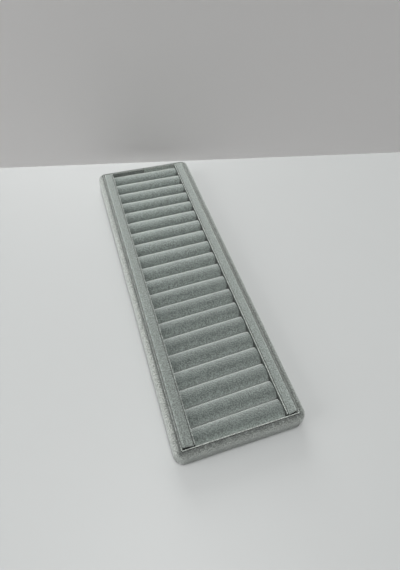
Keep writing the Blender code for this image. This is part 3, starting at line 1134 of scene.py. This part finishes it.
def roll(number):
    """One padded roll, counted from 0 at the near end."""
    rows = [roll_section(number, x, drawn) for x, drawn in roll_cuts(number)]
    shape = loft(rows, False, lambda point: roll_painted_shade(number, point))
    painted_sheen_and_shade = shape.verts.layers.float.new("painted_sheen_and_shade")
    shape.verts.index_update()
    for vert in shape.verts:
        turn = (vert.index % len(rows[0]) - 1) / ROLL_ARC_STEPS
        vert[painted_sheen_and_shade] = roll_painted_sheen(number, turn)
    swell(shape, ROLL_SWELL, ROLL_SWELL_SIZE, roll_free)
    spread_near(shape)
    name = f"roll_{number + 1:02d}"
    piece = finished(f"{name}_velvet", shape, roll_velvet, "insert")
    piece.data.set_sharp_from_angle(angle=ROLL_CREASE)
    # Painted shade on the roll's ends and down in its slots.
    paint_shade(piece, roll_shaded_faces)
    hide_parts(name)


for number in range(ROLL_COUNT):
    roll(number)


# Table and wall.
# A white table top with a slight gloss, and a plain pale wall behind it that stands at a small
# angle to the tray. The wall is clear from behind, so it hides nothing from the back.
TABLE_COLOUR = (0.480, 0.493, 0.489)
TABLE_ROUGHNESS = 0.45
TABLE_HALF = 2.5
TABLE_HEIGHT = -0.0002
TABLE_CORNERS = ((-1, -1), (1, -1), (1, 1), (-1, 1))
WALL_COLOUR = (0.830, 0.812, 0.806)
WALL_ROUGHNESS = 0.9
WALL_POINT = (0.0832, 0.1923)
WALL_TURN = math.radians(-10.8)
WALL_HEIGHT = 1.6


def sheet_of(name, corners, material):
    """One flat sheet of the surroundings."""
    mesh = bpy.data.meshes.new(name)
    mesh.from_pydata(corners, [], [tuple(range(len(corners)))])
    mesh.materials.append(material)
    sheet = bpy.data.objects.new(name, mesh)
    bpy.context.scene.collection.objects.link(sheet)
    return sheet


def table_finish():
    """White paint with a slight gloss."""
    material, tree, shader = bare_material("table_white", TABLE_ROUGHNESS)
    shader.inputs["Base Color"].default_value = (*TABLE_COLOUR, 1)
    return material


def wall_finish():
    """Matt paint that is clear from the back."""
    material, tree, shader = bare_material("wall_paint", WALL_ROUGHNESS)
    shader.inputs["Base Color"].default_value = (*WALL_COLOUR, 1)
    side = tree.nodes.new("ShaderNodeNewGeometry")
    clear = tree.nodes.new("ShaderNodeBsdfTransparent")
    choice = tree.nodes.new("ShaderNodeMixShader")
    tree.links.new(side.outputs["Backfacing"], choice.inputs["Fac"])
    tree.links.new(shader.outputs["BSDF"], choice.inputs[1])
    tree.links.new(clear.outputs["BSDF"], choice.inputs[2])
    tree.links.new(choice.outputs["Shader"], tree.nodes["Material Output"].inputs["Surface"])
    return material


table_corners = [(x * TABLE_HALF, y * TABLE_HALF, TABLE_HEIGHT) for x, y in TABLE_CORNERS]
sheet_of("table_top", table_corners, table_finish())
along_wall = Vector((math.cos(WALL_TURN), math.sin(WALL_TURN), 0)) * TABLE_HALF
foot = Vector((*WALL_POINT, TABLE_HEIGHT))
rise = Vector((0, 0, WALL_HEIGHT))
wall_corners = [foot - along_wall, foot + along_wall,
                foot + along_wall + rise, foot - along_wall + rise]
wall = sheet_of("wall", wall_corners, wall_finish())
wall.visible_shadow = False


# Light and camera.
# Soft daylight from the left and from beyond the far end, a broad ceiling light, and a pale
# room all round. The camera is over the near left corner and looks down along the tray.
WINDOW_PLACE = (-2.6, 0.0, 1.3)
WINDOW_SIZE = 1.8
WINDOW_POWER = 33.5
CEILING_PLACE = (-0.08, -0.24, 2.7)
CEILING_SIZE = 0.8
CEILING_POWER = 48.9
FAR_PLACE = (0.2, 3.0, 1.3)
FAR_SIZE = 2.0
FAR_POWER = 61
ROOM_LIGHT = 0.03
ROOM_SEEN = 0.62
ROOM_COLOUR = (0.97, 0.99, 1.0, 1)
CAMERA_PLACE = (-0.07658, -0.24197, 0.34253)
CAMERA_TURN = (36.1021, -2.7956, -18.1318)
CAMERA_LENS = 25.293
CAMERA_SENSOR = 36
CAMERA_NEAREST = 0.01
CAMERA_FARTHEST = 50


def soft_light(name, place, size, power):
    """A square soft light that faces the tray."""
    lamp = bpy.data.lights.new(name, "AREA")
    lamp.size = size
    lamp.energy = power
    light = bpy.data.objects.new(name, lamp)
    light.location = place
    light.rotation_euler = (-Vector(place)).to_track_quat("-Z", "Y").to_euler()
    bpy.context.scene.collection.objects.link(light)


def pale_room():
    """Hardly any light from all round, but a pale room wherever it is seen or mirrored."""
    world = bpy.data.worlds.new("room")
    world.use_nodes = True
    tree = world.node_tree
    rays = tree.nodes.new("ShaderNodeLightPath")
    seen = rays.outputs["Is Camera Ray"]
    for kind in ("Is Glossy Ray", "Is Transmission Ray"):
        either = tree.nodes.new("ShaderNodeMath")
        either.operation = "MAXIMUM"
        tree.links.new(seen, either.inputs[0])
        tree.links.new(rays.outputs[kind], either.inputs[1])
        seen = either.outputs["Value"]
    strength = tree.nodes.new("ShaderNodeMapRange")
    strength.inputs["To Min"].default_value = ROOM_LIGHT
    strength.inputs["To Max"].default_value = ROOM_SEEN
    tree.links.new(seen, strength.inputs["Value"])
    room = tree.nodes["Background"]
    room.inputs["Color"].default_value = ROOM_COLOUR
    tree.links.new(strength.outputs["Result"], room.inputs["Strength"])
    bpy.context.scene.world = world


soft_light("window", WINDOW_PLACE, WINDOW_SIZE, WINDOW_POWER)
soft_light("ceiling", CEILING_PLACE, CEILING_SIZE, CEILING_POWER)
soft_light("far", FAR_PLACE, FAR_SIZE, FAR_POWER)
pale_room()
bpy.context.scene.view_settings.view_transform = "Standard"

lens = bpy.data.cameras.new("camera")
lens.lens = CAMERA_LENS
lens.sensor_width = CAMERA_SENSOR
lens.clip_start = CAMERA_NEAREST
lens.clip_end = CAMERA_FARTHEST
camera = bpy.data.objects.new("camera", lens)
camera.location = CAMERA_PLACE
camera.rotation_euler = Euler([math.radians(angle) for angle in CAMERA_TURN])
bpy.context.scene.collection.objects.link(camera)
bpy.context.scene.camera = camera
